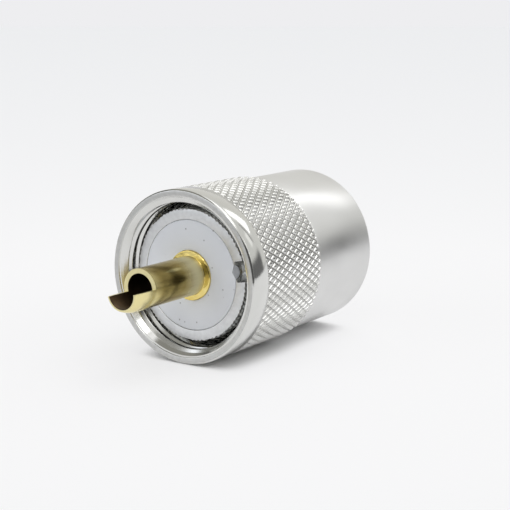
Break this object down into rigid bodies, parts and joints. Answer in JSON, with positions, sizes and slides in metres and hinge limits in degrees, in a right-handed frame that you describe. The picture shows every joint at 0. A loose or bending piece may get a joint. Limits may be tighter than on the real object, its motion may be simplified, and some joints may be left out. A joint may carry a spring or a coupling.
{
  "type": "uhf plug",
  "caption": "UHF cable plug: knurled coupling ring over a toothed mating face, white insulator, hollow gold centre pin with a scooped tip, and a plain round rear sleeve.",
  "frame": {"origin": "centre of the rear sleeve's back face, on the plug's axis", "axes": "+Z along the plug's axis towards the pin's tip, +X through one notch of the mating face, +Y through the open side of the pin's scoop"},
  "size_m": [0.0176, 0.0176, 0.032],
  "materials": {
    "sleeve_nickel": "smooth bright nickel plate over brass",
    "body_nickel": "satin nickel plate over brass",
    "dielectric": "smooth white moulded insulator",
    "contact_gold": "pale gold plate over brass, turned",
    "ring_nickel": "bright nickel plate over brass, diamond knurled"
  },
  "bodies": {
    "plug": {"rear_sleeve": "sleeve_nickel", "plug_body": "body_nickel", "insulator": "dielectric", "centre_contact": "contact_gold"},
    "ring": {"coupling_ring": "ring_nickel"}
  },
  "joints": [
    {"name": "ring_spin", "type": "hinge", "parent": "plug", "child": "ring", "pos_m": [0, 0, 0.0108], "axis": [0, 0, 1], "continuous": true}
  ]
}
